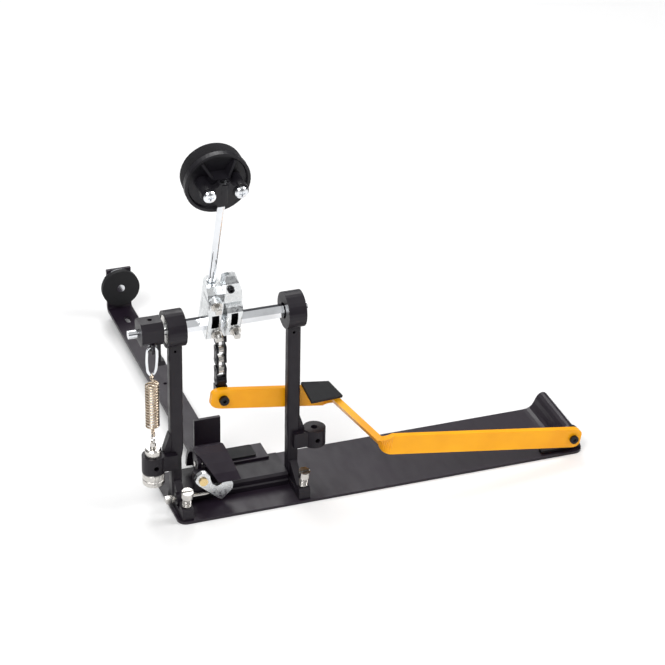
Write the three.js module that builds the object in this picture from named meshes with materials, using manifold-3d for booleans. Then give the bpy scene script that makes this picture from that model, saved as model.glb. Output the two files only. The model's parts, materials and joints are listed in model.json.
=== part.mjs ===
// Side-lever percussion foot pedal: a beater pedal whose foot lever lies across a long floor plate.
// Millimetres, +Z up. X runs along the floor plate (heel stop at +X), +Y is the strike direction.
// Origin: centre of the floor plate's underside.
import * as THREE from "three";
import { mergeVertices } from "three/addons/utils/BufferGeometryUtils.js";
import Module from "manifold-3d";

const wasm = await Module();
wasm.setup();

// ---- driving dimensions -------------------------------------------------------------------
const GAP = 0.3;
const PLATE = { length: 472, width: 101, thick: 3, corner: 10 };
const HEEL = { start: 213, height: 22, front: -36 };
const SHAFT = { y: -2, z: 215.3, flats: 13, journal: 6, stub: 4.5, left: -275, right: -79 };
const POST = { left: -226, right: -94.5, width: 11, depth: 13, bossR: 20, bossWidth: 20 };
const LUG = { reach: 25.3, y: -6, r: 12.5, bottom: 46, top: 66 };
const TOE = { width: 12.5, front: -48, back: -36, top: 17 };
const SPUR = { tilt: 12, y: -41, z: 13, r: 2.6, headR: 6.3, headBase: 18.5, headHeight: 8 };
const LEAN = 18.3;
const HUB = { leftX: -184.5, leftWidth: 16.4, rightX: -163.8, rightWidth: 18 };
const ROD = { back: 14, r: 3.95, bottom: -12, top: 186 };
const HEAD = { up: 177, tilt: 10.3, rimR: 34.9, rimY: 16.5, foamR: 33.5, foamDepth: 19.5 };
const CHAIN = { x: -168.5, y: 17.5, pitch: 12.7, links: 7, plateR: 5.4, rollerR: 3.9, pinR: 1.7 };
const EAR_Z = 220.1;
const LEVER = {
  height: 22.9, thick: 6.5, slope: 8.8, bend: 78, axisTilt: 36, bendR: 10,
  pivot: [221, -49.25, 22], tailX: -169, tailZ: 113, endRight: 9.5, endLeft: 13.5,
  crossing: 67, right: 219.5,
};
const SPRING = { bottom: 100, top: 155, r: 7.8, wire: 0.95 };
const CAM = { left: -263.5, right: -239.5, r: 14, pinY: -7.2, pinZ: -15.4 };
const RAIL = { x: -173, width: 30, thick: 4, bottom: 8, front: 32, rear: 412, tabTop: 64 };
const PAD = { z: 42, r: 23.2, front: 399, thick: 6 };
const BAR = { left: -218.7, right: -100.8 };
const JAW = { left: -196, right: -112, front: 21, back: 50, bottom: 17.8, thick: 2.5 };
const ROCKER = { x: -201.4, z: 33.5, front: -25, back: -19, eyeR: 9.5 };
const SCREW = { tip: -194.5, head: -243, y: -22, z: 16, r: 2.4 };
const CLAW = { pinY: 2, pinZ: 40, pinR: 3, thick: 4.5 };
const STOP = { front: 51.5, back: 55.5, top: 62 };

function rad(degrees) {
  return (degrees * Math.PI) / 180;
}

// ---- materials ----------------------------------------------------------------------------
function material(color, roughness, metalness) {
  return new THREE.MeshStandardMaterial({ color, roughness, metalness });
}
const BLACK_STEEL = [0x2b2730, 0.55, 0.4];
const BLACK_CAST = [0x1f1d24, 0.65, 0.3];
const CHROME = [0xd8dadd, 0.15, 1];
const CAST_SILVER = [0xc4c9c8, 0.35, 0.9];
const NICKEL = [0xbfb7aa, 0.25, 1];
const BRASS = [0xc79a3c, 0.3, 1];
const ORANGE = [0xffa614, 0.35, 0.1];
const RUBBER = [0x141416, 0.8, 0];
const FOAM = [0x232125, 0.95, 0];
const PLASTIC = [0x18161c, 0.5, 0];
const OXIDE = [0x17171a, 0.35, 0.6];

const part = new THREE.Group();

// ---- helpers ------------------------------------------------------------------------------
function toSolid(geometry) {
  const bare = geometry.clone();
  bare.deleteAttribute("normal");
  bare.deleteAttribute("uv");
  const merged = mergeVertices(bare, 1e-4);
  return new wasm.Manifold(new wasm.Mesh({
    numProp: 3,
    vertProperties: new Float32Array(merged.attributes.position.array),
    triVerts: new Uint32Array(merged.index.array),
  }));
}

// The same surface with its faces turned round.
function flip(geometry) {
  const order = geometry.index.array;
  for (let i = 0; i < order.length; i += 3) {
    [order[i], order[i + 1]] = [order[i + 1], order[i]];
  }
  return geometry;
}

function toGeometry(solid) {
  const mesh = solid.getMesh();
  const geometry = new THREE.BufferGeometry();
  geometry.setAttribute("position", new THREE.BufferAttribute(mesh.vertProperties, 3));
  geometry.setIndex(new THREE.BufferAttribute(mesh.triVerts, 1));
  geometry.computeVertexNormals();
  return geometry;
}

function join(...geometries) {
  return geometries.map(toSolid).reduce((a, b) => a.add(b));
}

function cut(solid, ...geometries) {
  return geometries.map(toSolid).reduce((a, b) => a.subtract(b), solid);
}

function place(name, shape, look, parent = part) {
  const geometry = shape.isBufferGeometry ? shape : toGeometry(shape);
  const mesh = new THREE.Mesh(geometry, material(...look));
  mesh.name = name;
  parent.add(mesh);
  return mesh;
}

function box(x0, x1, y0, y1, z0, z1) {
  const geometry = new THREE.BoxGeometry(x1 - x0, y1 - y0, z1 - z0);
  return geometry.translate((x0 + x1) / 2, (y0 + y1) / 2, (z0 + z1) / 2);
}

// Cylinder along one axis: a and b are its centre on the other two axes, in X, Y, Z order.
function rod(axis, a, b, from, to, r, sides = 20, r2 = r) {
  const geometry = new THREE.CylinderGeometry(r2, r, to - from, sides);
  const middle = (from + to) / 2;
  if (axis === "x") {
    return geometry.rotateZ(-Math.PI / 2).translate(middle, a, b);
  }
  if (axis === "y") {
    return geometry.translate(a, middle, b);
  }
  return geometry.rotateX(Math.PI / 2).translate(a, b, middle);
}

// Solid of revolution about the Z axis from [radius, z] points, closed on itself.
function ring(points, sides = 24) {
  const profile = points.map(([r, z]) => new THREE.Vector2(r, z));
  profile.push(profile[0].clone());
  return new THREE.LatheGeometry(profile, sides).rotateX(Math.PI / 2);
}

function outline(points) {
  return new THREE.Shape(points.map(([a, b]) => new THREE.Vector2(a, b)));
}

function roundedRect(width, height, r, x = 0, y = 0) {
  const shape = new THREE.Shape();
  const w = width / 2;
  const h = height / 2;
  shape.moveTo(x - w + r, y - h);
  shape.lineTo(x + w - r, y - h);
  shape.absarc(x + w - r, y - h + r, r, -Math.PI / 2, 0);
  shape.absarc(x + w - r, y + h - r, r, 0, Math.PI / 2);
  shape.absarc(x - w + r, y + h - r, r, Math.PI / 2, Math.PI);
  shape.absarc(x - w + r, y - h + r, r, Math.PI, 1.5 * Math.PI);
  return shape;
}

function extrude(shape, depth, curveSegments = 4) {
  return new THREE.ExtrudeGeometry(shape, { depth, bevelEnabled: false, curveSegments });
}

// Extrusion along Z of an XY outline, along X of a YZ outline, along Y of an XZ outline.
function alongZ(shape, from, to, segments) {
  return extrude(shape, to - from, segments).translate(0, 0, from);
}

function alongX(shape, from, to, segments) {
  return extrude(shape, to - from, segments).rotateY(Math.PI / 2).rotateX(Math.PI / 2).translate(from,
    0, 0);
}

function alongY(shape, from, to, segments) {
  return extrude(shape, to - from, segments).rotateX(Math.PI / 2).translate(0, to, 0);
}

// Closed solid through a row of quadrilateral sections.
function loft(sections) {
  const positions = [];
  const index = [];
  const n = sections[0].length;
  sections.forEach((section) => section.forEach((p) => positions.push(p.x, p.y, p.z)));
  for (let i = 0; i < sections.length - 1; i += 1) {
    for (let j = 0; j < n; j += 1) {
      const a = i * n + j;
      const b = i * n + ((j + 1) % n);
      index.push(a, b, b + n, a, b + n, a + n);
    }
  }
  const last = (sections.length - 1) * n;
  for (let j = 1; j < n - 1; j += 1) {
    index.push(0, j + 1, j, last, last + j, last + j + 1);
  }
  const geometry = new THREE.BufferGeometry();
  geometry.setAttribute("position", new THREE.Float32BufferAttribute(positions, 3));
  geometry.setIndex(index);
  return geometry;
}

function hexagon(flats, turn = 0) {
  const r = flats / Math.sqrt(3);
  const corners = [];
  for (let i = 0; i < 6; i += 1) {
    corners.push([r * Math.cos(turn + (i * Math.PI) / 3), r * Math.sin(turn + (i * Math.PI) / 3)]);
  }
  return outline(corners);
}

function square(size, turn = 0) {
  const r = size / Math.SQRT2;
  const corners = [];
  for (let i = 0; i < 4; i += 1) {
    corners.push([r * Math.cos(turn + (i * Math.PI) / 2), r * Math.sin(turn + (i * Math.PI) / 2)]);
  }
  return outline(corners);
}

// ---- floor plate --------------------------------------------------------------------------
function floorPlate() {
  const half = PLATE.length / 2;
  const flat = roundedRect(PLATE.length, PLATE.width, PLATE.corner);
  const sheet = alongZ(flat, 0, PLATE.thick);
  const ridge = outline([
    [205, 0], [205, 3], [209, 3.3], [213, 4.6], [216, 7], [218.4, 11], [220.4, 15.5], [222.8, 19.2],
    [225.8, 21.4], [228.8, HEEL.height], [231.7, 21.3], [234, 19], [235.5, 15.5], [236, 11], [236, 0],
    [233.2, 0], [233, 12], [232, 16], [230.6, 18.3], [228.7, 19], [226.8, 18.4], [224.8, 16.4],
    [222.8, 13], [220.8, 8.8], [218.2, 4.6], [215.4, 1.6], [213.4, 0],
  ]);
  const cutout = box(213, half + 4, HEEL.front, half, -2, PLATE.thick + 2);
  const solid = cut(toSolid(sheet), cutout).add(toSolid(alongY(ridge, HEEL.front + 0.5,
    PLATE.width / 2)));
  place("base_plate", solid, BLACK_STEEL);
}

function leverBracket() {
  const [x, , z] = LEVER.pivot;
  const floor = PLATE.thick + GAP;
  const cheek = new THREE.Shape();
  cheek.moveTo(x - 11, floor);
  cheek.lineTo(x + 14.5, floor);
  cheek.lineTo(x + 10, 17);
  cheek.absarc(x, z, 11.2, rad(-25), Math.PI);
  const foot = box(x - 34, x - 8, -44.5, -36.8, floor, 6.8);
  const body = join(alongY(cheek, -44.5, -40.5, 5), foot);
  place("lever_bracket", cut(body, rod("y", x, z, -50, -38, 3.3)), BLACK_CAST);
}

// ---- pedal frame --------------------------------------------------------------------------
function post(name, x, side) {
  const { width, depth } = POST;
  const y = SHAFT.y;
  const floor = PLATE.thick + GAP;
  const half = width / 2;
  const flare = alongY(outline([
    [x - half, floor], [x + half, floor], [x + half, 58], [x + half + 3, 72], [x + half + 3, 260],
    [x - half - 0.6, 260], [x - half - 0.6, 72], [x - half, 58],
  ]), -30, 30);
  const column = toSolid(alongZ(roundedRect(width + 3.6, depth, 3.5, x + 1.2, y), floor, SHAFT.z - 12, 3));
  const boss = rod("x", y, SHAFT.z, x - POST.bossWidth / 2, x + POST.bossWidth / 2, POST.bossR, 32);
  const lugX = x + side * LUG.reach;
  const lug = rod("z", lugX, LUG.y, LUG.bottom, LUG.top, LUG.r, 24);
  const neck = box(Math.min(x, lugX), Math.max(x, lugX), LUG.y - 8, LUG.y + 7, LUG.bottom + 1,
    LUG.top - 1);
  const buttress = alongY(outline([
    [side * 3, LUG.top - 20], [side * 12, LUG.top - 20], [side * 13.5, LUG.top + 2],
    [side * 7, LUG.top + 22],
    [side * 3, LUG.top + 22],
  ]), y - 5, y + 4).translate(x, 0, 0);
  const leg = x + 0.5;
  const web = alongX(outline([
    [y, floor], [TOE.back - 4, floor], [TOE.back - 4, 9], [TOE.back, 10], [-9, 30], [y, 30],
  ]), leg - 4, leg + 4);
  const toe = alongX(outline([
    [TOE.back, floor], [TOE.back, TOE.top - 2], [TOE.back - 3, TOE.top], [TOE.front + 2, TOE.top],
    [TOE.front, TOE.top - 2], [TOE.front, floor],
  ]), leg - TOE.width / 2, leg + TOE.width / 2);
  const sole = box(leg - TOE.width / 2, leg + TOE.width / 2, TOE.back - 2, y + 8, floor, 10);
  let solid = column.intersect(toSolid(flare)).add(join(boss, lug, neck, buttress, web, toe, sole));
  if (side < 0) {
    solid = solid.add(toSolid(rod("x", SCREW.y, SCREW.z, leg - 6.1, leg + 6.1, 6.7, 16)));
    solid = cut(solid, rod("x", SCREW.y, SCREW.z, -260, -180, SCREW.r + GAP, 16));
  }
  const spurHole = spurAxis(leg, rod("z", 0, 0, -40, 20, SPUR.r + GAP, 16));
  const outside = side * (POST.bossWidth / 2);
  const seatFrom = Math.min(x + outside - side * 9, x + outside + side * 4);
  const bearingSeat = rod("x", y, SHAFT.z, seatFrom, seatFrom + 13, 15.5, 32);
  const bore = rod("x", y, SHAFT.z, x - 20, x + 20, 9, 24);
  const spareHole = rod("y", lugX, LUG.bottom + 9, LUG.y - 20, LUG.y - 4, 2.8, 14);
  const wallHole = rod("y", x, 190, y - 20, y, 1.6, 10);
  solid = cut(solid, bearingSeat, bore, spurHole, spareHole, wallHole, rod("z", lugX, LUG.y, 0, 100,
    3.8, 20));
  place(name, solid, BLACK_CAST);
}

function spurAxis(x, geometry) {
  return geometry.rotateX(rad(SPUR.tilt)).translate(x, SPUR.y, SPUR.z);
}

function bearing(name, x) {
  const race = ring([[SHAFT.journal + GAP, -4], [15.2, -4], [15.2, 4], [SHAFT.journal + GAP, 4]], 28);
  place(name, race.rotateY(Math.PI / 2).translate(x, SHAFT.y, SHAFT.z), NICKEL);
}

function crossMember() {
  const floor = PLATE.thick + GAP;
  const section = outline([
    [-14, floor], [-14, 8.5], [-12.5, 9.8], [-12.5, 15], [-10, 17.5], [30, 17.5], [30, floor],
  ]);
  const bar = alongX(section, BAR.left, BAR.right);
  const rockerSeat = box(-209, -195, -18.7, -9, 10, 40);
  const ear = alongX(outline([[-8, 14], [13, 14], [8, 38], [6, 44.5], [-2, 44.5], [-4, 38]]), -186, -176);
  const solid = cut(join(bar, rockerSeat, ear), rod("x", CLAW.pinY, CLAW.pinZ, -210, -160,
    CLAW.pinR + GAP, 16),
    rod("y", ROCKER.x, ROCKER.z, -30, -2, 2.8, 16));
  place("cross_member", solid, BLACK_CAST);
}

function seat() {
  const top = JAW.bottom + JAW.thick;
  const plate = box(JAW.left, JAW.right, JAW.front, JAW.back, JAW.bottom, top);
  const screwX = [RAIL.x - 8, RAIL.x + 8];
  const holes = screwX.map((x) => rod("z", x, 42, 0, 40, 2.8, 14));
  place("lower_jaw", cut(toSolid(plate), ...holes), BLACK_STEEL);
  place("jaw_pad", alongZ(roundedRect(30, 22, 2, -140, 36), top + GAP, top + 2.4), RUBBER);
  screwX.forEach((x, i) => {
    const head = rod("z", x, 42, RAIL.bottom - 2.6, RAIL.bottom - GAP, 4.4, 18);
    const shank = rod("z", x, 42, RAIL.bottom - 1, top, 2.5, 14);
    place(`rail_screw_${i + 1}`, join(head, shank), OXIDE);
  });
  const half = RAIL.width / 2;
  const angle = join(box(RAIL.x - half, RAIL.x + half, 33, STOP.back, 12.3, 16.3),
    box(RAIL.x - half, RAIL.x + half, STOP.front, STOP.back, 12.3, STOP.top));
  place("front_stop", cut(angle, ...holes), BLACK_STEEL);
  const pad = alongY(roundedRect(26, 32, 3, RAIL.x, 40), STOP.back + GAP, STOP.back + 3);
  place("front_stop_pad", pad, RUBBER);
}

// ---- rail under the drum and its rear pad ---------------------------------------------------
function rail() {
  const { thick, bottom, front, rear, tabTop } = RAIL;
  const r = 7;
  const side = new THREE.Shape();
  side.moveTo(front, bottom);
  side.lineTo(rear - r, bottom);
  side.absarc(rear - r, bottom + r, r, -Math.PI / 2, 0);
  side.lineTo(rear, tabTop);
  side.lineTo(rear - thick, tabTop);
  side.lineTo(rear - thick, bottom + r);
  side.absarc(rear - r, bottom + r, r - thick, 0, -Math.PI / 2, true);
  side.lineTo(front, bottom + thick);
  const bar = toSolid(alongX(side, RAIL.x - RAIL.width / 2, RAIL.x + RAIL.width / 2, 5));
  const slot = alongZ(roundedRect(7, 16, 3.49, RAIL.x + 1, 376), 0, 30, 6);
  const holes = [
    slot, rod("z", RAIL.x + 1, 218, 0, 30, 2.4, 14), rod("y", RAIL.x, PAD.z, rear - 20, rear + 10, 3.4,
      18),
    rod("z", RAIL.x - 8, 42, 0, 30, 2.8, 14), rod("z", RAIL.x + 8, 42, 0, 30, 2.8, 14),
  ];
  place("rail", cut(bar, ...holes), BLACK_STEEL);
}

function rearPad() {
  const x = RAIL.x;
  const { z, r, front, thick } = PAD;
  const disc = cut(toSolid(rod("y", x, z, front, front + thick, r, 40)),
    rod("y", x, z, front - 2, front + 10, 3.3, 18), rod("y", x, z, front - 2, front + 2, 5.2, 20));
  place("rear_pad", disc, RUBBER);
  const washer = cut(toSolid(rod("y", x, z, front + thick + GAP, front + thick + 1.8, r, 40)),
    rod("y", x, z, front, front + 12, 3.3, 18));
  place("rear_pad_backing", washer, CHROME);
  const screw = join(rod("y", x, z, front + 0.4, front + 1.7, 4.8, 20), rod("y", x, z, front + 1, 421,
    3, 18));
  place("rear_pad_screw", screw, CHROME);
  const nut = cut(toSolid(alongY(hexagon(10), 0, 4.5)), rod("y", 0, 0, -2, 6, 3.3, 18));
  place("rear_pad_nut", nut, CHROME).position.set(x, RAIL.rear + GAP, z);
}

// ---- drum clamp: claw, rocker and side screw ------------------------------------------------
function claw() {
  // y, z, left, right of each section, and its normal's angle from +Z towards -Y
  const rows = [
    [24, 26, -206, -174, -80], [22.5, 36, -206, -173, -72], [18, 46, -206, -172, -55],
    [12, 53, -205.5, -171, -30],
    [5, 56, -204, -170, 5], [-4, 52.5, -200, -168, 32], [-13, 45.8, -195.5, -165.5, 42],
    [-20.5, 37.5, -190, -162.5, 58],
    [-25.5, 29.3, -184.5, -159.5, 70],
  ];
  const half = CLAW.thick / 2;
  const sections = rows.map(([y, z, left, right, angle]) => {
    const ny = -Math.sin(rad(angle)) * half;
    const nz = Math.cos(rad(angle)) * half;
    return [
      new THREE.Vector3(left, y + ny, z + nz), new THREE.Vector3(right, y + ny, z + nz),
      new THREE.Vector3(right, y - ny, z - nz), new THREE.Vector3(left, y - ny, z - nz),
    ];
  });
  const rib = outline([[-9, 47], [5, 54], [15, 49], [10, 38], [5, 34.5], [-1, 34.5], [-6, 38]]);
  const ribs = [[-202, -198], [-174.5, -170.5]].map(([a, b]) => alongX(rib, a, b));
  const solid = join(loft(sections.reverse()), ...ribs);
  place("clamp_claw", cut(solid, rod("x", CLAW.pinY, CLAW.pinZ, -210, -160, CLAW.pinR + GAP, 16)),
    BLACK_STEEL);
  place("clamp_claw_pin", rod("x", CLAW.pinY, CLAW.pinZ, -203, -169.5, CLAW.pinR, 16), NICKEL);
}

function rocker() {
  const { x, z, front, back } = ROCKER;
  const shape = new THREE.Shape();
  [[-9, 1.7], [-6.3, 7], [-0.8, 10.3], [3.4, 10], [7.5, 5.5], [8, 0.9], [10.1, -5.2], [14.7, -8.9],
  [18.4, -7.9],
    [21.5, -5.8], [27, -5.4], [31.8, -5.7], [33.5, -8.5], [32.9, -15.1], [24.5, -23.5],
    [20.5, -26.4], [17.4, -25],
    [6, -14.5], [-4.4, -5.3], [-8, -0.8]].forEach(([dx, dz], i) => {
    if (i === 0) {
      shape.moveTo(x + dx, z + dz);
    } else {
      shape.lineTo(x + dx, z + dz);
    }
  });
  const plate = toSolid(alongY(shape, front, back));
  place("clamp_rocker", cut(plate, rod("y", x, z, front - 2, back + 2, 3.1, 16)), CAST_SILVER);
  const pin = join(rod("y", x, z, front - 2.2, front - GAP, 4.8, 20), rod("y", x, z, front - 1, -10,
    2.5, 16));
  place("rocker_screw", pin, BRASS);
}

function clampScrew() {
  const { tip, head: start, y, z, r } = SCREW;
  const shank = rod("x", y, z, start + 4, tip - 3, r, 16);
  const point = rod("x", y, z, tip - 4, tip, r, 16, 1.2);
  const key = alongX(square(6.4, Math.PI / 4), 0, 7).translate(start, y, z);
  const collar = rod("x", y, z, start + 7, start + 9.5, 4.4, 18);
  place("clamp_screw", join(shank, point, key, collar), NICKEL);
}

// ---- spurs in the toes ----------------------------------------------------------------------
function spur(side, x) {
  const { r, headR, headBase, headHeight } = SPUR;
  const slot = box(-8, 8, -0.9, 0.9, headBase + headHeight - 3, headBase + headHeight + 1);
  const head = rod("z", 0, 0, headBase, headBase + headHeight, headR, 20);
  const shank = rod("z", 0, 0, -6, headBase + 1, r, 16);
  const point = rod("z", 0, 0, -9, -6, 0.4, 16, r);
  place(`spur_screw_${side}`, spurAxis(x + 0.5, toGeometry(cut(join(head, shank, point), slot))), NICKEL);
  const coil = ring([[3.3, 5.6], [5, 5.6], [5, headBase - GAP], [3.3, headBase - GAP]], 18);
  place(`spur_spring_${side}`, spurAxis(x + 0.5, coil), NICKEL);
}

// ---- return spring and its adjuster -----------------------------------------------------------
const SPRING_X = POST.left - LUG.reach;

function springAdjuster() {
  const x = SPRING_X;
  const { y } = LUG;
  const eye = new THREE.TorusGeometry(4.2, 1.3, 10, 20).rotateY(Math.PI / 2).translate(x, y, 85.5);
  place("spring_hook_rod", join(rod("z", x, y, 26, 82, 3.4, 16), eye), NICKEL);
  const collar = ring([[3.8, LUG.top + GAP], [9, LUG.top + GAP], [9, 73], [7.5, 75], [3.8, 75]]);
  place("spring_collar", collar.translate(x, y, 0), NICKEL);
  const nut = ring([[3.8, 30], [11, 30], [12, 31], [12, 44.5], [11, LUG.bottom - GAP],
    [3.8, LUG.bottom - GAP]], 28);
  place("tension_nut", nut.translate(x, y, 0), NICKEL);
}

function returnSpring() {
  const x = SPRING_X;
  const { y } = LUG;
  const { bottom, top, r, wire } = SPRING;
  const tube = ring([[r - 2 * wire, bottom], [r, bottom], [r, top],
    [r - 2 * wire, top]], 20).translate(x, y, 0);
  const lower = box(x - 0.9, x + 0.9, y - r + 1, y + r - 1, bottom, bottom + 1.8);
  const upper = box(x - 0.9, x + 0.9, y - r + 1, y + r - 1, top - 1.8, top);
  const hook = rod("z", x, y, 91.5, bottom + 1, wire, 10);
  const loop = rod("z", x, y, top - 1, 163, wire, 10);
  place("return_spring", join(tube, lower, upper, hook, loop), NICKEL);
}

function springLink() {
  const low = 164.8;
  const high = SHAFT.z + CAM.pinZ;
  const lean = (SHAFT.y + CAM.pinY - LUG.y) / (high - low);
  const corners = [
    [0, low], [4.2, low + 5], [5.6, low + 18], [5.2, high - 4], [2.8, high], [-2.8, high],
    [-5.2, high - 4],
    [-5.6, low + 18], [-4.2, low + 5],
  ];
  const points = corners.map(([dx, z]) => new THREE.Vector3(SPRING_X + dx, LUG.y + (z - low) * lean, z));
  const path = new THREE.CatmullRomCurve3(points, true, "catmullrom", 0.35);
  place("spring_link", closedWire(path, 1.4), CHROME);
}

// A closed wire: circular sections around a closed path, joined end to end.
function closedWire(path, radius) {
  const steps = 44;
  const sides = 8;
  const frames = path.computeFrenetFrames(steps, true);
  const positions = [];
  const index = [];
  for (let i = 0; i < steps; i += 1) {
    const p = path.getPointAt(i / steps);
    for (let j = 0; j < sides; j += 1) {
      const a = (j / sides) * 2 * Math.PI;
      const offset = frames.normals[i].clone().multiplyScalar(radius * Math.cos(a))
        .addScaledVector(frames.binormals[i], radius * Math.sin(a));
      positions.push(p.x + offset.x, p.y + offset.y, p.z + offset.z);
      const next = (i + 1) % steps;
      const k = (j + 1) % sides;
      index.push(i * sides + j, i * sides + k, next * sides + k);
      index.push(i * sides + j, next * sides + k, next * sides + j);
    }
  }
  const geometry = new THREE.BufferGeometry();
  geometry.setAttribute("position", new THREE.Float32BufferAttribute(positions, 3));
  geometry.setIndex(index);
  return geometry;
}

// ---- rotating shaft, cam, hubs, rod and beater ------------------------------------------------
function shaft() {
  const y = SHAFT.y;
  const z = SHAFT.z;
  const bar = alongX(hexagon(SHAFT.flats, Math.PI / 6 + rad(LEAN)), -215, -105.5).translate(0, y, z);
  const journals = [
    rod("x", y, z, SHAFT.left, -237, SHAFT.stub, 24), rod("x", y, z, -238.6, -214, SHAFT.journal, 24),
    rod("x", y, z, -106, SHAFT.right, SHAFT.journal, 24),
  ];
  place("shaft", join(bar, ...journals), CHROME);
}

function springCam() {
  const { left, right, r, pinY, pinZ } = CAM;
  const block = alongX(outline([
    [-r, -6], [-r + 5, -12], [r - 5, -12], [r, -6], [r, 8], [r - 6, r], [-r + 6, r], [-r, 8],
  ]), left, right);
  const hook = alongX(outline([
    [-14, -9], [4, -9], [pinY + 6.4, pinZ - 2], [pinY + 3.2, pinZ - 6.4], [pinY - 3.4, pinZ - 6.4],
    [pinY - 6.6, pinZ - 1],
  ]), SPRING_X - 1.6, SPRING_X + 1.6);
  const arm = alongX(outline([[0, -10], [1, -43], [7, -43], [9, -10]]), -243.6, -239.5);
  const tab = box(-243.6, -235.5, 0, 8, -43.3, -38);
  const solid = cut(join(block, arm, tab, hook),
    rod("x", 0, 0, left - 5, right + 5, SHAFT.stub + GAP, 24),
    rod("x", pinY, pinZ, SPRING_X - 2.4, SPRING_X + 2.4, 4.2, 24), rod("z", SPRING_X, 0, 0, r + 5, 2.6, 14));
  place("spring_cam", solid, BLACK_CAST).position.set(0, SHAFT.y, SHAFT.z);
}

const beater = new THREE.Group();
beater.position.set(0, SHAFT.y, SHAFT.z);
beater.rotation.x = rad(LEAN);
part.add(beater);

function hubLeft() {
  const { leftX, leftWidth } = HUB;
  const x0 = leftX - leftWidth / 2;
  const x1 = leftX + leftWidth / 2;
  const body = alongX(outline([
    [-11, -14], [-14, -10], [-14, 14], [-12, 20], [-9, 27], [-7, 36], [-2, 43], [5, 47.5], [15, 48],
    [15, -12], [8, -14],
  ]), x0, x1);
  const barrel = rod("z", leftX, ROD.back, -12, 48, 8.8, 28);
  const boss = rod("y", leftX - 1, 34, -11.5, 10, 8, 24);
  const plan = alongZ(roundedRect(leftWidth + 1.6, 37, 7, leftX - 0.8, 4.5), -30, 60, 5);
  const bore = alongX(hexagon(SHAFT.flats + 2 * GAP, Math.PI / 6), x0 - 2, x1 + 2);
  const window = box(leftX - 4.5, leftX + 3.5, -16, -6, 5, 21);
  const shaped = join(body, barrel, boss).intersect(toSolid(plan));
  const solid = cut(shaped, bore, window, rod("z", leftX, ROD.back, -30, 60, ROD.r + GAP, 24),
    rod("z", leftX, ROD.back, 46, 60, 5.4, 24), rod("y", leftX + 2, -4, -20, 0, 3, 16),
    rod("y", leftX - 1, 36, -20, 14, 3, 16));
  place("hub_left", solid, CAST_SILVER, beater);
}

function hubRight() {
  const { rightX, rightWidth } = HUB;
  const x0 = rightX - rightWidth / 2;
  const x1 = rightX + rightWidth / 2;
  const clamp = alongX(outline([
    [-11, -13], [-13.5, -9], [-13.5, 15], [-11.5, 22], [-8, 27], [-2, 29.5], [12, 30], [12.5, 0],
    [10, -10], [6, -13],
  ]), x0, x1);
  const arm = alongX(outline([
    [-2, 28], [-7, 33.5], [-7.5, 50], [-5.5, 60], [0, 65.5], [6, 66.5], [10.5, 60], [12, 28],
  ]), x0 - 3.2, x1);
  const crown = alongY(outline([
    [x0 - 3.2, 20], [x1, 20], [x1 - 1, 36], [x1 - 3, 50], [x1 - 6.5, 60], [x1 - 11, 66], [x0 - 1.5, 67],
    [x0 - 3.2, 62],
  ]), -30, 30);
  const plan = alongZ(roundedRect(rightWidth, 28, 4, rightX, 0), -30, 60, 4);
  const back = CHAIN.y - SHAFT.y;
  const up = EAR_Z - SHAFT.z;
  const earY = back * Math.cos(rad(LEAN)) + up * Math.sin(rad(LEAN));
  const earZ = -back * Math.sin(rad(LEAN)) + up * Math.cos(rad(LEAN));
  const ear = join(rod("x", earY, earZ, CHAIN.x - 2.8, CHAIN.x + 2.8, 6.2, 20),
    box(CHAIN.x - 2.8, CHAIN.x + 2.8, 8, earY, earZ - 5, earZ + 5));
  const bore = alongX(hexagon(SHAFT.flats + 2 * GAP, Math.PI / 6), x0 - 2, x1 + 2);
  const window = box(rightX - 4, rightX + 3.5, -16, -6, 5, 21);
  const shaped = toSolid(clamp).intersect(toSolid(plan)).add(toSolid(arm).intersect(toSolid(crown)));
  const grubX = x0 + 2.4;
  const solid = cut(shaped.add(ear), bore, window, rod("x", earY, earZ, -180, -160, CHAIN.pinR + 1.5, 18),
    rod("y", rightX + 2, -4, -20, 0, 3, 16), rod("y", grubX, 54, -20, 5, 3.9, 20),
    rod("z", x0, 4, 60, 72, 2.4, 14));
  place("hub_right", solid, CAST_SILVER, beater);
  const grub = cut(toSolid(rod("y", grubX, 54, -9.8, 4, 3.6, 20)),
    alongY(hexagon(3.4), -12, -5).translate(grubX, 0, 54));
  place("hub_grub_screw", grub, OXIDE, beater);
}

// Square-headed key bolt along Y with a flange; the head looks towards -Y.
function keyBolt(name, x, z, seatY, depth) {
  const flange = rod("y", x, z, seatY - 1.8, seatY - GAP, 6.2, 24);
  const head = alongY(square(6, Math.PI / 4), -9.5, -1).translate(x, seatY, z);
  const shank = rod("y", x, z, seatY - 1.2, seatY + depth, 2.7, 16);
  place(name, join(flange, head, shank), NICKEL, beater);
}

function beaterRod() {
  const { back, r, bottom, top } = ROD;
  place("beater_rod", rod("z", HUB.leftX, back, bottom, top, r, 24), CHROME, beater);
}

const head = new THREE.Group();
head.position.set(HUB.leftX, ROD.back, HEAD.up);
head.rotation.x = -rad(HEAD.tilt);
beater.add(head);

function rodInHead(r, from, to) {
  return rod("z", 0, 0, from, to, r, 24).rotateX(rad(HEAD.tilt));
}

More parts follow.
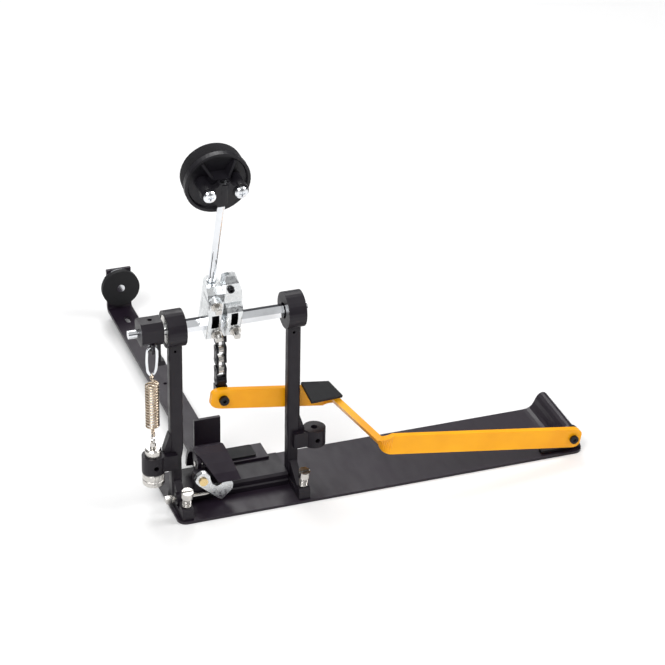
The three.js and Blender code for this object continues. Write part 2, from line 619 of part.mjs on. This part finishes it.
function beaterCup() {
  const { rimR, rimY } = HEAD;
  const dish = ring([
    [0.001, rimY + 3.2], [rimR - 4.5, rimY + 3.2], [rimR - 3, rimY], [rimR, rimY], [rimR, rimY + 6],
    [0.001, rimY + 6],
  ], 48).rotateX(-Math.PI / 2);
  const ribs = [-35, 35].map((angle) => {
    const web = alongX(outline([[5, 0], [rimY + 3.5, 0], [rimY + 3.5, rimR - 4], [rimY, rimR - 4],
      [5, 10]]), -1.3, 1.3);
    return web.rotateY(rad(angle));
  });
  const bosses = [-16.5, 16.5].map((x) => rod("y", x, 3, 1.8, 17.5, 7.6, 24));
  const block = box(-16.5, 16.5, 5, 17.5, -5, 9);
  const neck = alongZ(roundedRect(20, 17, 4, 0, 12.5), -13, 13, 3);
  const clearance = rod("z", 0, -2.5, -60, 60, 6.2, 20);
  let solid = join(dish, ...ribs, ...bosses, block, neck);
  solid = cut(solid, rodInHead(ROD.r + GAP, -60, 60), clearance, box(-40, 40, -20, 1.6, -60, 60),
    ...[-16.5, 16.5].map((x) => rod("y", x, 3, -5, 14, 2.8, 14)));
  place("beater_cup", solid, PLASTIC, head);
}

function saddle() {
  const plate = new THREE.Shape();
  plate.absarc(-16.5, 3, 8.6, rad(75), rad(285));
  plate.quadraticCurveTo(-10, -8, -6.5, -13);
  plate.lineTo(6.5, -13);
  plate.quadraticCurveTo(10, -8, 16.5 + 8.6 * Math.cos(rad(-105)), 3 + 8.6 * Math.sin(rad(-105)));
  plate.absarc(16.5, 3, 8.6, rad(-105), rad(105));
  plate.quadraticCurveTo(9, 8, 6, 14);
  plate.quadraticCurveTo(0, 17, -6, 14);
  plate.quadraticCurveTo(-9, 8, -16.5 + 8.6 * Math.cos(rad(75)), 3 + 8.6 * Math.sin(rad(75)));
  const hump = rod("z", 0, -2.5, -9.5, 13, 5.8, 20);
  const body = join(alongY(plate, -6.8, 1.2, 5), hump);
  const bosses = [-16.5, 16.5].map((x) => toSolid(rod("y", x, 3, -8, 0, 8, 24)));
  const solid = cut(body.add(bosses[0]).add(bosses[1]), rodInHead(ROD.r + GAP, -60, 60),
    ...[-16.5, 16.5].map((x) => rod("y", x, 3, -12, 4, 2.8, 14)));
  place("beater_saddle", solid, PLASTIC, head);
}

function saddleScrew(name, x) {
  const pan = new THREE.LatheGeometry(
    [[0, 0], [6.9, 0], [6.9, -1.2], [5.8, -2.8], [3.4, -3.7], [0, -3.9]].map(([r,
    h]) => new THREE.Vector2(r, h)), 28);
  const cross = [box(x - 3.2, x + 3.2, -14, -10, 2.3, 3.7), box(x - 0.7, x + 0.7, -14, -10, -0.2, 6.2)];
  const cap = toSolid(flip(pan)).translate([x, -8 - GAP, 3]);
  place(name, cut(cap.add(toSolid(rod("y", x, 3, -9.5, 12, 2.5, 14))), ...cross), CHROME, head);
}

function foamHead() {
  const { foamR, foamDepth, rimY } = HEAD;
  const back = rimY + 6 + GAP;
  const foam = ring([
    [0.001, back], [foamR, back], [foamR, back + foamDepth - 3], [foamR - 3, back + foamDepth],
    [0.001, back + foamDepth],
  ], 48).rotateX(-Math.PI / 2);
  place("beater_foam", foam, FOAM, head);
}

// ---- chain ----------------------------------------------------------------------------------
function chainPlate(x0, x1, z, r) {
  const shape = new THREE.Shape();
  const waist = r * 0.62;
  shape.absarc(CHAIN.y, z, r, rad(20), rad(160));
  shape.quadraticCurveTo(CHAIN.y - waist, z - CHAIN.pitch / 2, CHAIN.y - r * Math.cos(rad(20)),
    z - CHAIN.pitch - r * 0.34);
  shape.absarc(CHAIN.y, z - CHAIN.pitch, r, rad(200), rad(340));
  shape.quadraticCurveTo(CHAIN.y + waist, z - CHAIN.pitch / 2, CHAIN.y + r * Math.cos(rad(20)),
    z + r * 0.34);
  return alongX(shape, CHAIN.x + x0, CHAIN.x + x1, 3);
}

function chain() {
  for (let i = 0; i < CHAIN.links; i += 1) {
    const top = EAR_Z - i * CHAIN.pitch;
    const low = top - CHAIN.pitch;
    const outer = i % 2 === 0;
    if (outer) {
      const plates = [chainPlate(-5.8, -4.5, top, CHAIN.plateR), chainPlate(4.5, 5.8, top, CHAIN.plateR)];
      const pins = [top, low].map((z) => rod("x", CHAIN.y, z, CHAIN.x - 6.3, CHAIN.x + 6.3, CHAIN.pinR,
        8));
      place(`chain_outer_${i + 1}`, join(...plates, ...pins), OXIDE);
    } else {
      const plates = [chainPlate(-4.2, -3, top, CHAIN.plateR), chainPlate(3, 4.2, top, CHAIN.plateR)];
      const rollers = [top, low].map((z) => rod("x", CHAIN.y, z, CHAIN.x - 3.2, CHAIN.x + 3.2,
        CHAIN.rollerR, 12));
      const bores = [top, low].map((z) => rod("x", CHAIN.y, z, CHAIN.x - 9, CHAIN.x + 9,
        CHAIN.pinR + 0.4, 8));
      place(`chain_inner_${i + 1}`, cut(join(...plates, ...rollers), ...bores), NICKEL);
    }
  }
}

function chainConnector() {
  const z = EAR_Z - CHAIN.links * CHAIN.pitch;
  const x = CHAIN.x;
  const eye = join(rod("x", CHAIN.y, z, x - 4.1, x + 4.1, 5, 20), box(x - 4.1, x + 4.1, CHAIN.y - 4.5,
    CHAIN.y + 4.5, z - 10, z));
  const block = box(x - 6.2, x + 6.2, 12.1, 23, 105, z - 6.2);
  place("chain_connector", cut(eye.add(toSolid(block)), rod("x", CHAIN.y, z, x - 9, x + 9,
    CHAIN.pinR + GAP, 14),
    rod("y", LEVER.tailX, LEVER.tailZ, 0, 21, 3.3, 16)), OXIDE);
  const bolt = join(rod("y", LEVER.tailX, LEVER.tailZ, 0.4, 4.4, 5.4, 20),
    rod("y", LEVER.tailX, LEVER.tailZ, 3, 20.5, 3, 16));
  const socket = alongY(hexagon(4), -1, 2.5).translate(LEVER.tailX, 0, LEVER.tailZ);
  place("connector_bolt", cut(bolt, socket), OXIDE);
}

// ---- lever: a flat bar on edge with two slanted folds ------------------------------------------
function leverSections() {
  const { height, thick, slope, bend, axisTilt, bendR, pivot, endRight, endLeft, crossing,
    right } = LEVER;
  const d = new THREE.Vector3(-Math.cos(rad(slope)), 0, Math.sin(rad(slope)));
  const w = new THREE.Vector3(Math.sin(rad(slope)), 0, Math.cos(rad(slope)));
  const n = new THREE.Vector3(0, -1, 0);
  const axis = new THREE.Vector3(-Math.sin(rad(axisTilt)), 0, Math.cos(rad(axisTilt)));
  const p = new THREE.Vector3(...pivot).addScaledVector(d, -endRight);
  const sections = [];
  function station(half) {
    const corner = (a, b) => p.clone().addScaledVector(w, a).addScaledVector(n, b);
    const t = thick / 2;
    sections.push([corner(half, t), corner(half, -t), corner(-half, -t), corner(-half, t)]);
  }
  function roundEnd(length, outwards) {
    const steps = 5;
    const stops = [];
    for (let i = 0; i <= steps; i += 1) {
      const a = (i / steps) * (Math.PI / 2);
      stops.push([length * (1 - Math.cos(a)), height / 2 * (0.45 + 0.55 * Math.sin(a))]);
    }
    const ordered = outwards ? stops.slice().reverse() : stops;
    const start = p.clone();
    ordered.forEach(([along, half]) => {
      p.copy(start).addScaledVector(d, outwards ? length - along : along);
      station(half);
    });
  }
  function straight(length) {
    p.addScaledVector(d, length);
    station(height / 2);
  }
  function fold(angle) {
    const steps = 8;
    const arc = Math.abs(rad(angle)) * bendR;
    for (let i = 0; i < steps; i += 1) {
      p.addScaledVector(d, arc / steps / 2);
      [d, w, n].forEach((v) => v.applyAxisAngle(axis, rad(angle) / steps));
      p.addScaledVector(d, arc / steps / 2);
      station(height / 2);
    }
  }
  roundEnd(endRight, false);
  straight(right);
  fold(-bend);
  straight(crossing);
  fold(bend);
  const rest = (p.x - LEVER.tailX) / Math.cos(rad(slope));
  straight(rest - 2);
  p.addScaledVector(d, 2);
  roundEnd(endLeft, true);
  return sections;
}

function lever() {
  const sections = leverSections();
  const bar = toSolid(loft(sections));
  const [x, , z] = LEVER.pivot;
  place("lever", cut(bar, rod("y", x, z, -60, -40, 3.3, 20), rod("y", LEVER.tailX, LEVER.tailZ, 0, 14,
    3.3, 16)), ORANGE);
  const bolt = join(rod("y", x, z, -56.4, -53.8, 5, 20), rod("y", x, z, -55, -36, 3, 16));
  place("pivot_bolt", cut(bolt, alongY(hexagon(4), -58, -55.2).translate(x, 0, z)), OXIDE);
  const nut = cut(toSolid(alongY(hexagon(10), 0, 4)), rod("y", 0, 0, -2, 6, 3.3, 16));
  place("pivot_nut", nut, NICKEL).position.set(x, -40.5 + GAP, z);
}

function toePad() {
  const corners = [[-79.5, 10.8, 112.4], [-48, 10.8, 107.9], [-41, -15.5, 103.4], [-79.5, -24.5, 107.8]];
  const up = new THREE.Vector3(0.15, -0.16, 0.97).normalize();
  const lower = corners.map(([x, y, z]) => new THREE.Vector3(x, y, z));
  const upper = lower.map((v) => v.clone().addScaledVector(up, 3));
  place("toe_pad", loft([upper, lower]), RUBBER);
}

floorPlate();
leverBracket();
post("post_left", POST.left, -1);
post("post_right", POST.right, 1);
bearing("bearing_left", POST.left - 5.5);
bearing("bearing_right", POST.right + 5.5);
crossMember();
seat();
rail();
rearPad();
claw();
rocker();
clampScrew();
spur("left", POST.left);
spur("right", POST.right);
springAdjuster();
returnSpring();
springLink();
shaft();
springCam();
hubLeft();
hubRight();
keyBolt("rod_key_bolt", HUB.leftX - 1, 36, -11.5, 18);
keyBolt("hub_key_bolt_left", HUB.leftX + 2, -4, -14, 6);
keyBolt("hub_key_bolt_right", HUB.rightX + 2, -4, -13.5, 5.5);
beaterRod();
beaterCup();
saddle();
saddleScrew("saddle_screw_left", -16.5);
saddleScrew("saddle_screw_right", 16.5);
foamHead();
chain();
chainConnector();
lever();
toePad();

export default part;
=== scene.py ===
import json
import math
import random

import bmesh
import bpy
from mathutils import Matrix, Vector


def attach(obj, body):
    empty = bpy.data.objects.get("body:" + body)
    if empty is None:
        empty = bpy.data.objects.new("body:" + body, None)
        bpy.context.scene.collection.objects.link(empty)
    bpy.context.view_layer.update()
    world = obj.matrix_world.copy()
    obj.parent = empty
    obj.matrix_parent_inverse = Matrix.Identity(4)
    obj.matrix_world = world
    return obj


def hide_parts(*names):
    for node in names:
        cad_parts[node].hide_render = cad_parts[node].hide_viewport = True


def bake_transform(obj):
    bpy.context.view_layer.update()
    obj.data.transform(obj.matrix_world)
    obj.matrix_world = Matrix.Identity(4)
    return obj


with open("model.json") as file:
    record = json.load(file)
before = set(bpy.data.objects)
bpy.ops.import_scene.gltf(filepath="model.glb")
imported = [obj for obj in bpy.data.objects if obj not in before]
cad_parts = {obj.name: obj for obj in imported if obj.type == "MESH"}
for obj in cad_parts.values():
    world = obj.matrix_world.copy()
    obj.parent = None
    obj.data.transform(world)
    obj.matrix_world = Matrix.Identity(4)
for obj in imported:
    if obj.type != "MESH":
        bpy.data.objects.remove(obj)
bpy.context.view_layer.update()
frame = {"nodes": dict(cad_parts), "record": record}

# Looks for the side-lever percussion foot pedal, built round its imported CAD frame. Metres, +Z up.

NODES = frame["nodes"]
MM = 0.001

# ---- dimensions shared with the CAD (mm) ------------------------------------------------
SHAFT_Y, SHAFT_Z = -2.0, 215.3
LEAN = 18.3
HEAD_TILT = 10.3
ROD_X, ROD_BACK, HEAD_UP = -184.5, 14.0, 177.0
SPRING_X, SPRING_Y = -251.3, -6.0
CHAIN_X = -168.5
ROLLER_HALF_WIDTH = 2.95
SPUR_Y, SPUR_Z, SPUR_TILT = -41.0, 13.0, 12.0


def mm(*values):
    return Vector(values) * MM


# ---- materials --------------------------------------------------------------------------
class Nodes:
    """A material's node tree with short calls."""

    def __init__(self, name):
        self.material = bpy.data.materials.new(name)
        self.material.use_nodes = True
        self.tree = self.material.node_tree
        self.shader = self.tree.nodes["Principled BSDF"]
        coords = self.tree.nodes.new("ShaderNodeTexCoord")
        self.place = coords.outputs["Object"]

    def add(self, kind, **inputs):
        node = self.tree.nodes.new(kind)
        for key, value in inputs.items():
            socket = node.inputs[key.replace("_", " ")]
            if isinstance(value, bpy.types.NodeSocket):
                self.tree.links.new(value, socket)
            else:
                socket.default_value = value
        return node

    def noise(self, scale, detail=3.0, stretch=None):
        vector = self.place
        if stretch:
            mapping = self.add("ShaderNodeMapping", Vector=vector)
            mapping.inputs["Scale"].default_value = stretch
            vector = mapping.outputs["Vector"]
        return self.add("ShaderNodeTexNoise", Vector=vector, Scale=scale, Detail=detail).outputs["Fac"]

    def ramp(self, value, stops):
        node = self.add("ShaderNodeValToRGB", Fac=value)
        elements = node.color_ramp.elements
        while len(elements) < len(stops):
            elements.new(0.5)
        for element, (position, color) in zip(elements, stops):
            element.position = position
            element.color = (*color, 1) if len(color) == 3 else color
        return node.outputs["Color"]

    def span(self, value, low, high, start=0.3, end=0.7):
        node = self.add("ShaderNodeMapRange", Value=value)
        for key, number in (("From Min", start), ("From Max", end), ("To Min", low), ("To Max", high)):
            node.inputs[key].default_value = number
        return node.outputs["Result"]

    def bump(self, height, strength, distance, below=None):
        node = self.add("ShaderNodeBump", Height=height, Strength=strength, Distance=distance)
        if below:
            self.tree.links.new(below, node.inputs["Normal"])
        return node.outputs["Normal"]

    def set(self, **inputs):
        for key, value in inputs.items():
            socket = self.shader.inputs[key.replace("_", " ")]
            if isinstance(value, bpy.types.NodeSocket):
                self.tree.links.new(value, socket)
            else:
                socket.default_value = value
        return self.material


def shade(color, factor):
    return tuple(min(1.0, c * factor) for c in color)


def coated(name, color, rough, grain, strength, sheen=0.5):
    """Paint or powder coat: fine pebbled grain, faint cloudiness and small dull rubs."""
    n = Nodes(name)
    cloud = n.noise(18.0, 4.0)
    grit = n.noise(grain, 2.0)
    rub = n.noise(90.0, 6.0, (1.0, 0.35, 1.0))
    tint = n.ramp(cloud, [(0.3, shade(color, 0.86)), (0.7, shade(color, 1.16))])
    return n.set(Base_Color=tint, Roughness=n.span(rub, rough - 0.07, rough + 0.09),
                 Specular_IOR_Level=sheen, Normal=n.bump(grit, strength, 0.00025))


def metal(name, color, rough, brushed, strength=0.05, scale=260.0):
    """Bare or plated metal with directional micro scratches and slight staining."""
    n = Nodes(name)
    lines = n.noise(scale, 4.0, brushed)
    stain = n.noise(40.0, 5.0)
    tint = n.ramp(stain, [(0.28, shade(color, 0.84)), (0.72, shade(color, 1.06))])
    return n.set(Base_Color=tint, Metallic=1.0, Roughness=n.span(lines, rough * 0.65, rough * 1.5),
                 Normal=n.bump(lines, strength, 0.00008))


def soft_black(name, color, rough, grain, strength, distance=0.0003):
    """Rubber or moulded nylon."""
    n = Nodes(name)
    dust = n.noise(60.0, 6.0)
    grit = n.noise(grain, 3.0)
    tint = n.ramp(dust, [(0.35, color), (0.8, shade(color, 1.7))])
    return n.set(Base_Color=tint, Roughness=n.span(dust, rough - 0.06, rough + 0.1), Specular_IOR_Level=0.32,
                 Normal=n.bump(grit, strength, distance))


def foam_material(name):
    """Dense closed-cell foam: small cells, darker in the pits."""
    n = Nodes(name)
    cells = n.add("ShaderNodeTexVoronoi", Vector=n.place, Scale=900.0).outputs["Distance"]
    fine = n.noise(2200.0, 3.0)
    blotch = n.noise(70.0, 4.0)
    tint = n.ramp(blotch, [(0.3, (0.006, 0.0055, 0.0065)), (0.75, (0.014, 0.013, 0.016))])
    normal = n.bump(fine, 0.5, 0.0003, n.bump(cells, 0.7, 0.0005))
    return n.set(Base_Color=tint, Roughness=n.span(blotch, 0.88, 0.99), Normal=normal, Sheen_Weight=0.04,
                 Specular_IOR_Level=0.2)


MATERIALS = {
    "black_steel": coated("black_steel", (0.0135, 0.0088, 0.0155), 0.4, 1500.0, 0.1, sheen=0.34),
    "black_cast": coated("black_cast", (0.008, 0.0056, 0.0094), 0.42, 1100.0, 0.3, sheen=0.32),
    "orange_paint": coated("orange_paint", (1.0, 0.39, 0.004), 0.36, 500.0, 0.04, sheen=0.3),
    "chrome": metal("chrome", (0.84, 0.86, 0.89), 0.09, (1.0, 1.0, 1.0), 0.02),
    "cast_silver": metal("cast_silver", (0.8, 0.82, 0.83), 0.3, (1.0, 1.0, 1.0), 0.004, 320.0),
    "nickel": metal("nickel", (0.64, 0.62, 0.59), 0.2, (1.0, 1.0, 0.2), 0.06),
    "black_oxide": metal("black_oxide", (0.03, 0.03, 0.034), 0.34, (1.0, 1.0, 1.0), 0.12, 500.0),
    "brass": metal("brass", (0.8, 0.6, 0.3), 0.2, (1.0, 0.3, 1.0), 0.08),
    "rubber": soft_black("rubber", (0.006, 0.006, 0.007), 0.6, 900.0, 0.3),
    "foam": foam_material("foam"),
    "black_plastic": soft_black("black_plastic", (0.0065, 0.0058, 0.008), 0.38, 1400.0, 0.15),
    "spring_wire": metal("spring_wire", (0.66, 0.55, 0.43), 0.2, (1.0, 1.0, 1.0), 0.04),
}
SLOT_OF = {row["node"]: row["material_slot"] for row in frame["record"]["subparts"]}
SOFT_EDGE = {"post_left": 1.1, "post_right": 1.1, "cross_member": 0.8, "hub_left": 0.6, "hub_right": 0.7,
             "beater_saddle": 0.7, "beater_cup": 0.5, "clamp_rocker": 0.8, "spring_cam": 0.7, "rear_pad": 0.8,
             "lever": 0.45, "base_plate": 0.35, "toe_pad": 0.5, "lever_bracket": 0.5}


def dress(obj, slot, bevel=0.0):
    obj.data.materials.clear()
    obj.data.materials.append(MATERIALS[slot])
    for polygon in obj.data.polygons:
        polygon.use_smooth = True
    if bevel:
        modifier = obj.modifiers.new("edge", "BEVEL")
        modifier.width = bevel * MM
        modifier.segments = 2
        modifier.limit_method = "ANGLE"
        modifier.angle_limit = math.radians(38)
        modifier.harden_normals = False
        normals = obj.modifiers.new("normals", "WEIGHTED_NORMAL")
        normals.keep_sharp = True
    return obj


# ---- mesh helpers -----------------------------------------------------------------------
def new_object(name, bm, slot, body, smooth_angle=40.0, bevel=0.0):
    bmesh.ops.recalc_face_normals(bm, faces=bm.faces[:])
    mesh = bpy.data.meshes.new(name)
    bm.to_mesh(mesh)
    bm.free()
    obj = bpy.data.objects.new(name, mesh)
    bpy.context.scene.collection.objects.link(obj)
    dress(obj, slot, bevel)
    if not bevel:
        mesh.set_sharp_from_angle(angle=math.radians(smooth_angle))
    if body:
        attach(obj, body)
    return obj


def add_tube(bm, points, radius, sides):
    """A round wire through points (metres), with frames carried along the path."""
    count = len(points)
    tangents = []
    for i in range(count):
        a = points[max(i - 1, 0)]
        b = points[min(i + 1, count - 1)]
        tangents.append((b - a).normalized())
    side = tangents[0].orthogonal().normalized()
    rings = []
    for point, tangent in zip(points, tangents):
        side = (side - tangent * side.dot(tangent)).normalized()
        other = tangent.cross(side)
        ring = []
        for j in range(sides):
            angle = 2 * math.pi * j / sides
            offset = side * math.cos(angle) + other * math.sin(angle)
            ring.append(bm.verts.new(point + offset * radius))
        rings.append(ring)
    for low, high in zip(rings, rings[1:]):
        for j in range(sides):
            k = (j + 1) % sides
            bm.faces.new((low[j], low[k], high[k], high[j]))
    bm.faces.new(rings[0][::-1])
    bm.faces.new(rings[-1])


def add_lathe(bm, profile, matrix, sides, wave):
    """Revolves a closed [radius, height] mm profile about local Z; wave(angle, i) scales a radius."""
    rings = []
    for j in range(sides):
        angle = 2 * math.pi * j / sides
        ring = []
        for i, (r, z) in enumerate(profile):
            reach = r * wave(angle, i)
            ring.append(bm.verts.new(matrix @ mm(reach * math.cos(angle), reach * math.sin(angle), z)))
        rings.append(ring)
    n = len(profile)
    for j in range(sides):
        a, b = rings[j], rings[(j + 1) % sides]
        for i in range(n):
            k = (i + 1) % n
            bm.faces.new((a[i], b[i], b[k], a[k]))


def helix(radius, z0, z1, turns, steps_per_turn):
    """Points (mm) of a coil about Z."""
    total = int(turns * steps_per_turn)
    points = []
    for i in range(total + 1):
        k = i / total
        z = z0 + (z1 - z0) * k
        angle = 2 * math.pi * turns * k
        points.append(Vector((radius * math.cos(angle), radius * math.sin(angle), z)))
    return points


# ---- carried-over CAD nodes -------------------------------------------------------------
for node_name, node in NODES.items():
    dress(node, SLOT_OF[node_name], SOFT_EDGE.get(node_name, 0.25))


# ---- hub slots: painted shade -----------------------------------------------------------
def paint_slot_shade(obj, low, high):
    """Painted shade: the walls of a hub's front slot get the dark black_oxide material to stand in for the
    shade in the recess; low and high are its corners (mm) on the upright hub.
    """
    obj.data.materials.append(MATERIALS["black_oxide"])
    upright = Matrix.Rotation(-math.radians(LEAN), 3, "X")
    axis = mm(0, SHAFT_Y, SHAFT_Z)
    slack = 0.1
    for polygon in obj.data.polygons:
        place = upright @ (obj.matrix_world @ polygon.center - axis) / MM
        if all(a - slack <= value <= b + slack for a, value, b in zip(low, place, high)):
            polygon.material_index = 1


# Painted shade in the front slots of both hubs.
paint_slot_shade(NODES["hub_left"], (-189, -15.5, 5), (-181, -6, 21))
paint_slot_shade(NODES["hub_right"], (-167.8, -15.5, 5), (-160.3, -6, 21))


def paint_rollers(node):
    """Inner chain links are black; only the rollers between their plates are bright."""
    node.data.materials.append(MATERIALS["black_oxide"])
    for polygon in node.data.polygons:
        if abs(polygon.center.x / MM - CHAIN_X) > ROLLER_HALF_WIDTH:
            polygon.material_index = 1


for node_name, node in NODES.items():
    if node_name.startswith("chain_inner"):
        paint_rollers(node)


# ---- foam beater head -------------------------------------------------------------------
def beater_matrix():
    lean = Matrix.Rotation(math.radians(LEAN), 4, "X")
    shaft = Matrix.Translation(mm(0, SHAFT_Y, SHAFT_Z))
    tilt = Matrix.Rotation(-math.radians(HEAD_TILT), 4, "X")
    return shaft @ lean @ Matrix.Translation(mm(ROD_X, ROD_BACK, HEAD_UP)) @ tilt


HEAD = beater_matrix()
AXIS_Y = Matrix.Rotation(-math.pi / 2, 4, "X")


def build_foam():
    back, depth, radius = 22.9, 19.0, 33.3
    profile = [(0.0, back)]
    for i in range(1, 9):
        profile.append((radius * i / 9, back))
    profile += [(radius - 0.5, back + 0.1), (radius, back + 0.7)]
    steps = 7
    for i in range(1, steps):
        swell = 0.35 * math.sin(math.pi * i / steps)
        profile.append((radius + swell, back + 0.7 + (depth - 3.4) * i / steps))
    for i in range(7):
        a = math.pi / 2 * i / 6
        profile.append((radius - 2.7 + 2.7 * math.cos(a), back + depth - 2.7 + 2.7 * math.sin(a)))
    for i in range(8, 0, -1):
        profile.append(((radius - 2.7) * i / 9, back + depth + 0.5 * (1 - (i / 9) ** 2)))
    profile.append((0.0, back + depth + 0.5))
    rng = random.Random(4)
    offsets = [rng.uniform(-0.06, 0.06) for _ in range(97)]
    bm = bmesh.new()
    sides = 96
    matrix = HEAD @ AXIS_Y
    bottom = bm.verts.new(matrix @ mm(0, 0, profile[0][1]))
    top = bm.verts.new(matrix @ mm(0, 0, profile[-1][1]))
    rings = []
    for i, (r, z) in enumerate(profile[1:-1]):
        ring = []
        for j in range(sides):
            angle = 2 * math.pi * j / sides
            reach = r + offsets[(i * 7 + j * 5) % 97]
            ring.append(bm.verts.new(matrix @ mm(reach * math.cos(angle), reach * math.sin(angle), z)))
        rings.append(ring)
    for low, high in zip(rings, rings[1:]):
        for j in range(sides):
            k = (j + 1) % sides
            bm.faces.new((low[j], low[k], high[k], high[j]))
    for j in range(sides):
        k = (j + 1) % sides
        bm.faces.new((bottom, rings[0][k], rings[0][j]))
        bm.faces.new((top, rings[-1][j], rings[-1][k]))
    foam = new_object("foam_block", bm, "foam", "beater", 60.0)
    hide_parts("beater_foam")


build_foam()


# ---- return spring with its end hooks ---------------------------------------------------
def hook_arc(center, radius, start, end, steps):
    """Arc (mm) in the YZ plane round center, angles in degrees from +Y."""
    points = []
    for i in range(steps + 1):
        a = math.radians(start + (end - start) * i / steps)
        points.append(center + Vector((0, radius * math.cos(a), radius * math.sin(a))))
    return points


def build_spring():
    wire = 1.08
    coil_r = 6.7
    points = helix(coil_r, 101.0, 154.0, 16, 22)
    lead_in = hook_arc(Vector((0, 0, 93.8)), 4.2, 150, -235, 20)
    lead_in = [Vector((0.3, p.y, p.z)) for p in lead_in]
    low_join = [Vector((2.0, 3.0, 99.4)), Vector((4.6, 2.6, 100.2)), Vector((6.4, 1.0, 100.7))]
    top_join = [Vector((6.2, 1.6, 154.6)), Vector((4.2, 3.2, 155.4)), Vector((1.6, 3.9, 156.8))]
    loop = [Vector((0.2, p.y, p.z)) for p in hook_arc(Vector((0, 0, 161.0)), 4.4, -50, 232, 20)]
    path = lead_in + low_join + points + top_join + loop
    base = Vector((SPRING_X, SPRING_Y, 0))
    bm = bmesh.new()
    add_tube(bm, [(base + p) * MM for p in path], wire * MM, 9)
    coil = new_object("return_coil", bm, "spring_wire", None, 80.0)
    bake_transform(coil)
    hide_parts("return_spring")


build_spring()


# ---- spur springs -----------------------------------------------------------------------
def build_spur(side, leg_x):
    matrix = Matrix.Translation(mm(leg_x, SPUR_Y, SPUR_Z)) @ Matrix.Rotation(math.radians(SPUR_TILT), 4, "X")
    bm = bmesh.new()
    points = [matrix @ (p * MM) for p in helix(4.35, 5.9, 17.5, 6.5, 20)]
    add_tube(bm, points, 0.62 * MM, 8)
    coil = new_object(f"spur_coil_{side}", bm, "nickel", f"spur_{side}", 80.0)
    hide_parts(f"spur_spring_{side}")


build_spur("left", -225.5)
build_spur("right", -94.0)


# ---- knurled tension nut ----------------------------------------------------------------
def build_nut():
    matrix = Matrix.Translation(mm(SPRING_X, SPRING_Y, 0))
    profile = [
        (3.8, 30.2), (10.6, 30.2), (11.6, 31.2), (11.75, 31.8), (11.75, 36.6), (11.3, 37.2), (11.75, 37.8),
        (11.75, 43.8), (11.6, 44.4), (10.8, 45.5), (3.8, 45.5),
    ]
    knurled = {3, 4, 6, 7}

    def wave(angle, i):
        return 1.0 + (0.018 * math.cos(48 * angle) if i in knurled else 0.0)

    bm = bmesh.new()
    add_lathe(bm, profile, matrix, 288, wave)
    nut = new_object("knurled_nut", bm, "nickel", "nut", 25.0)
    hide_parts("tension_nut")


build_nut()


# ---- camera, floor and light ------------------------------------------------------------
def build_stage():
    bpy.ops.mesh.primitive_plane_add(size=14, location=(0, 0, -0.0004))
    floor = bpy.context.object
    floor.name = "floor"
    n = Nodes("floor")
    tone = n.ramp(n.noise(3.0), [(0.3, (0.86, 0.86, 0.86)), (0.7, (0.9, 0.9, 0.9))])
    floor.data.materials.append(n.set(Base_Color=tone, Roughness=0.7))
    world = bpy.data.worlds.new("studio")
    bpy.context.scene.world = world
    world.use_nodes = True
    tree = world.node_tree
    background = tree.nodes["Background"]
    background.inputs["Strength"].default_value = 0.62
    coords = tree.nodes.new("ShaderNodeTexCoord")
    split = tree.nodes.new("ShaderNodeSeparateXYZ")
    ramp = tree.nodes.new("ShaderNodeValToRGB")
    tree.links.new(coords.outputs["Generated"], split.inputs["Vector"])
    tree.links.new(split.outputs["Z"], ramp.inputs["Fac"])
    tree.links.new(ramp.outputs["Color"], background.inputs["Color"])
    ramp.color_ramp.elements[0].position = 0.0
    ramp.color_ramp.elements[0].color = (0.1, 0.1, 0.11, 1)
    middle = ramp.color_ramp.elements.new(0.32)
    middle.color = (0.2, 0.2, 0.21, 1)
    ramp.color_ramp.elements[-1].position = 0.62
    ramp.color_ramp.elements[-1].color = (1, 1, 1, 1)
    lamps = [((-1.3, -1.2, 1.9), 1.1, 34.0), ((1.6, -0.6, 1.7), 0.9, 22.0), ((0.1, 1.8, 1.9), 1.2, 22.0)]
    target = Vector((-0.05, 0.05, 0.12))
    for i, (place, size, power) in enumerate(lamps):
        data = bpy.data.lights.new(f"softbox_{i}", "AREA")
        data.size = size
        data.energy = power
        lamp = bpy.data.objects.new(f"softbox_{i}", data)
        lamp.location = place
        lamp.rotation_euler = (target - Vector(place)).to_track_quat("-Z", "Y").to_euler()
        bpy.context.scene.collection.objects.link(lamp)


def build_camera():
    yaw, pitch, roll = math.radians(20.29), math.radians(29.878), math.radians(1.165)
    forward = Vector((math.sin(yaw) * math.cos(pitch), math.cos(yaw) * math.cos(pitch), -math.sin(pitch)))
    right = forward.cross(Vector((0, 0, 1))).normalized()
    up = right.cross(forward)
    right2 = right * math.cos(roll) + up * math.sin(roll)
    up2 = up * math.cos(roll) - right * math.sin(roll)
    data = bpy.data.cameras.new("camera")
    data.sensor_width = 36
    data.lens = 143.64
    data.clip_end = 50
    camera = bpy.data.objects.new("camera", data)
    axes = Matrix((right2, up2, -forward)).transposed()
    camera.matrix_world = Matrix.Translation(mm(-902.3, -2310.7, 1592.5)) @ axes.to_4x4()
    bpy.context.scene.collection.objects.link(camera)
    bpy.context.scene.camera = camera


build_stage()
build_camera()
bpy.context.scene.view_settings.view_transform = "Standard"
